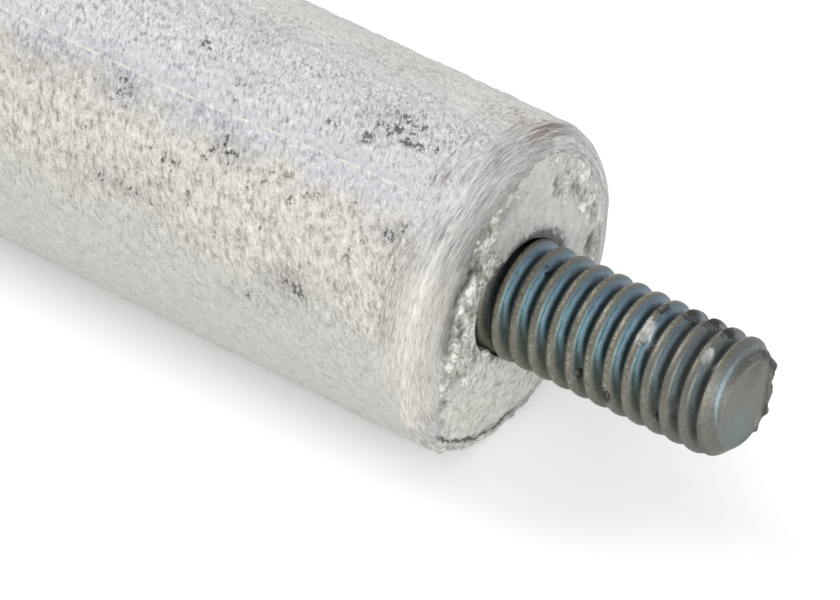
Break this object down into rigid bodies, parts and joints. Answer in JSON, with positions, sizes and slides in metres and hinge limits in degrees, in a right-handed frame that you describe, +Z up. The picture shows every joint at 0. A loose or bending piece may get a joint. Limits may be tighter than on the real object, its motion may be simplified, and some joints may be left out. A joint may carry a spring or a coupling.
{
  "type": "water heater anode rod",
  "caption": "Cylindrical cast magnesium rod with a threaded steel stud in one end, screwed into a water heater tank to corrode in its place.",
  "frame": {"origin": "on the rod's axis, at the mouth in the end face that the stud comes out of", "axes": "+X along the rod's axis towards the stud's tip, +Z up as the rod lies on its side"},
  "size_m": [0.2169, 0.022, 0.022],
  "materials": {
    "cast_magnesium": "matt, as cast, with fine grain and dark pores",
    "plated_steel": "satin zinc plating gone blue and olive"
  },
  "bodies": {
    "root": {"anode_body": "cast_magnesium", "threaded_stud": "plated_steel"}
  },
  "joints": []
}
